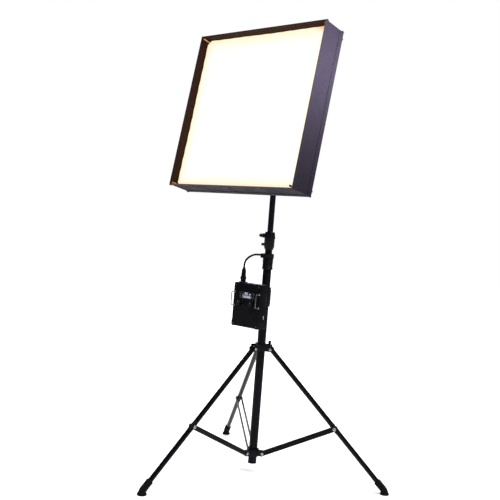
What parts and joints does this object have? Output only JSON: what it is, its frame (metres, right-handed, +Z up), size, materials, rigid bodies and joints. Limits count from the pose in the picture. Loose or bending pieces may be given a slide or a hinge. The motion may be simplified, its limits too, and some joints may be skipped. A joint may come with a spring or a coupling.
{
  "type": "studio softbox",
  "caption": "Square fabric softbox on a three-section light stand with folding braced legs, a tilting head and a control box clamped to the column.",
  "frame": {"origin": "the point on the floor under the column's axis", "axes": "+Z up along the column, -Y the way the softbox faces at rest, +X to the right seen from behind the softbox"},
  "size_m": [0.9852, 0.9079, 1.7891],
  "materials": {
    "tube_black": "satin powder coat",
    "collar_black": "moulded plastic",
    "knob_black": "moulded plastic",
    "rubber_black": "matt rubber",
    "steel_bright": "zinc plated",
    "strap_steel": "satin black",
    "case_black": "fine textured",
    "panel_black": "satin black",
    "display_glass": "gloss window",
    "cable_black": "cable jacket",
    "strap_fabric": "hook and loop strap",
    "head_metal": "black anodised",
    "arm_black": "satin black spring steel",
    "mat_fabric": "coated fabric",
    "wall_fabric": "nylon outside",
    "diffuser_cloth": "translucent white cloth"
  },
  "bodies": {
    "base": {"lower_tube": "tube_black", "column_plug": "rubber_black", "brace_hub": "collar_black", "hub_pins": "steel_bright", "lower_collar": "collar_black", "clamp_jaw": "head_metal", "clamp_cap": "head_metal", "control_case": "case_black", "control_panel": "panel_black", "display": "display_glass", "control_handles": "steel_bright", "case_screws": "steel_bright", "power_inlet": "case_black", "output_socket": "case_black", "cable_plug": "cable_black", "cable_arc": "cable_black", "cable_strap": "strap_fabric", "lead_lower": "cable_black"},
    "leg_collar": {"leg_collar": "collar_black", "leg_pins": "steel_bright"},
    "leg_1_body": {"leg_1": "tube_black", "foot_1": "rubber_black"},
    "leg_2_body": {"leg_2": "tube_black", "foot_2": "rubber_black"},
    "leg_3_body": {"leg_3": "tube_black", "foot_3": "rubber_black"},
    "brace_1_body": {"brace_1": "strap_steel"},
    "brace_2_body": {"brace_2": "strap_steel"},
    "brace_3_body": {"brace_3": "strap_steel"},
    "middle": {"mid_tube": "tube_black", "upper_collar": "collar_black", "lead_upper": "cable_black"},
    "top": {"top_tube": "tube_black", "spigot": "steel_bright", "top_tie": "strap_fabric", "lead_yoke": "cable_black"},
    "yoke": {"receiver": "head_metal", "lead_head": "cable_black"},
    "head": {"tilt_bracket": "head_metal", "cross_hub": "head_metal", "cross_arms": "arm_black", "light_mat": "mat_fabric", "skirt": "wall_fabric", "diffuser": "diffuser_cloth", "corner_rods": "arm_black"},
    "leg_knob_body": {"leg_knob": "knob_black"},
    "lower_knob_body": {"lower_knob": "knob_black"},
    "upper_knob_body": {"upper_knob": "knob_black"},
    "spigot_knob_body": {"spigot_knob": "knob_black"},
    "tilt_knob_body": {"tilt_knob": "knob_black"},
    "clamp_knob_body": {"clamp_knob": "knob_black"},
    "dial_left_body": {"dial_left": "knob_black"},
    "dial_right_body": {"dial_right": "knob_black"},
    "button_1_body": {"button_1": "knob_black"},
    "button_2_body": {"button_2": "knob_black"},
    "button_3_body": {"button_3": "knob_black"},
    "button_4_body": {"button_4": "knob_black"},
    "power_switch_body": {"power_switch": "knob_black"}
  },
  "joints": [
    {"name": "leg_collar_slide", "type": "slide", "parent": "base", "child": "leg_collar", "axis": [0, 0, 1], "range_m": [0, 0.1]},
    {"name": "leg_1_fold", "type": "hinge", "parent": "leg_collar", "child": "leg_1_body", "pos_m": [-0.0046, -0.04376, 0.515], "axis": [0.9945, -0.1045, 0], "range_deg": [0, 7.83]},
    {"name": "leg_2_fold", "type": "hinge", "parent": "leg_collar", "child": "leg_2_body", "pos_m": [0.0402, 0.0179, 0.515], "axis": [-0.4067, 0.9135, 0], "range_deg": [0, 7.83]},
    {"name": "leg_3_fold", "type": "hinge", "parent": "leg_collar", "child": "leg_3_body", "pos_m": [-0.0356, 0.02586, 0.515], "axis": [-0.5878, -0.809, 0], "range_deg": [0, 7.83]},
    {"name": "brace_1_fold", "type": "hinge", "parent": "base", "child": "brace_1_body", "pos_m": [-0.0046, -0.04376, 0.082], "axis": [-0.9945, 0.1045, 0], "range_deg": [0, 13.39]},
    {"name": "brace_2_fold", "type": "hinge", "parent": "base", "child": "brace_2_body", "pos_m": [0.0402, 0.0179, 0.082], "axis": [0.4067, -0.9135, 0], "range_deg": [0, 13.39]},
    {"name": "brace_3_fold", "type": "hinge", "parent": "base", "child": "brace_3_body", "pos_m": [-0.0356, 0.02586, 0.082], "axis": [0.5878, 0.809, 0], "range_deg": [0, 13.39]},
    {"name": "middle_slide", "type": "slide", "parent": "base", "child": "middle", "axis": [0, 0, 1], "range_m": [0, 0.5]},
    {"name": "top_slide", "type": "slide", "parent": "middle", "child": "top", "axis": [0, 0, 1], "range_m": [-0.09, 0.3], "deforming": ["lead_upper"]},
    {"name": "head_pan", "type": "hinge", "parent": "top", "child": "yoke", "pos_m": [0, 0, 1.37], "axis": [0, 0, 1], "range_deg": [-180, 180], "deforming": ["lead_yoke"]},
    {"name": "head_tilt", "type": "hinge", "parent": "yoke", "child": "head", "pos_m": [0, 0, 1.432], "axis": [-1, 0, 0], "range_deg": [-20, 65], "deforming": ["lead_head"]},
    {"name": "leg_knob_turn", "type": "hinge", "parent": "leg_collar", "child": "leg_knob_body", "pos_m": [0, 0, 0.523], "axis": [0.1045, 0.9945, 0], "range_deg": [0, 300]},
    {"name": "lower_knob_turn", "type": "hinge", "parent": "base", "child": "lower_knob_body", "pos_m": [0, 0, 0.862], "axis": [0.6428, -0.766, 0], "range_deg": [0, 300]},
    {"name": "upper_knob_turn", "type": "hinge", "parent": "middle", "child": "upper_knob_body", "pos_m": [0, 0, 0.98], "axis": [-0.7547, -0.6561, 0], "range_deg": [0, 300]},
    {"name": "spigot_knob_turn", "type": "hinge", "parent": "yoke", "child": "spigot_knob_body", "pos_m": [0, 0, 1.372], "axis": [1, 0, 0], "range_deg": [0, 300]},
    {"name": "tilt_knob_turn", "type": "hinge", "parent": "yoke", "child": "tilt_knob_body", "pos_m": [0, 0, 1.432], "axis": [1, 0, 0], "range_deg": [0, 300]},
    {"name": "clamp_knob_turn", "type": "hinge", "parent": "base", "child": "clamp_knob_body", "pos_m": [-0.0295, 0, 0.729], "axis": [0, 1, 0], "range_deg": [0, 300]},
    {"name": "dial_left_turn", "type": "hinge", "parent": "base", "child": "dial_left_body", "pos_m": [-0.032, -0.125, 0.702], "axis": [0, -1, 0], "continuous": true},
    {"name": "dial_right_turn", "type": "hinge", "parent": "base", "child": "dial_right_body", "pos_m": [0.032, -0.125, 0.702], "axis": [0, -1, 0], "continuous": true},
    {"name": "button_1_press", "type": "slide", "parent": "base", "child": "button_1_body", "axis": [0, 1, 0], "range_m": [0, 0.001], "stiffness_N_per_m": 400, "springref_m": -0.001},
    {"name": "button_2_press", "type": "slide", "parent": "base", "child": "button_2_body", "axis": [0, 1, 0], "range_m": [0, 0.001], "stiffness_N_per_m": 400, "springref_m": -0.001},
    {"name": "button_3_press", "type": "slide", "parent": "base", "child": "button_3_body", "axis": [0, 1, 0], "range_m": [0, 0.001], "stiffness_N_per_m": 400, "springref_m": -0.001},
    {"name": "button_4_press", "type": "slide", "parent": "base", "child": "button_4_body", "axis": [0, 1, 0], "range_m": [0, 0.001], "stiffness_N_per_m": 400, "springref_m": -0.001},
    {"name": "power_switch_rock", "type": "hinge", "parent": "base", "child": "power_switch_body", "pos_m": [0.0665, -0.088, 0.654], "axis": [0, 1, 0], "range_deg": [0, 16]}
  ],
  "couplings": [
    {"joint": "leg_1_fold", "follows": "leg_collar_slide", "rad_per_m": 1.3647},
    {"joint": "leg_2_fold", "follows": "leg_collar_slide", "rad_per_m": 1.3647},
    {"joint": "leg_3_fold", "follows": "leg_collar_slide", "rad_per_m": 1.3647},
    {"joint": "brace_1_fold", "follows": "leg_collar_slide", "rad_per_m": 2.3347},
    {"joint": "brace_2_fold", "follows": "leg_collar_slide", "rad_per_m": 2.3347},
    {"joint": "brace_3_fold", "follows": "leg_collar_slide", "rad_per_m": 2.3347}
  ]
}
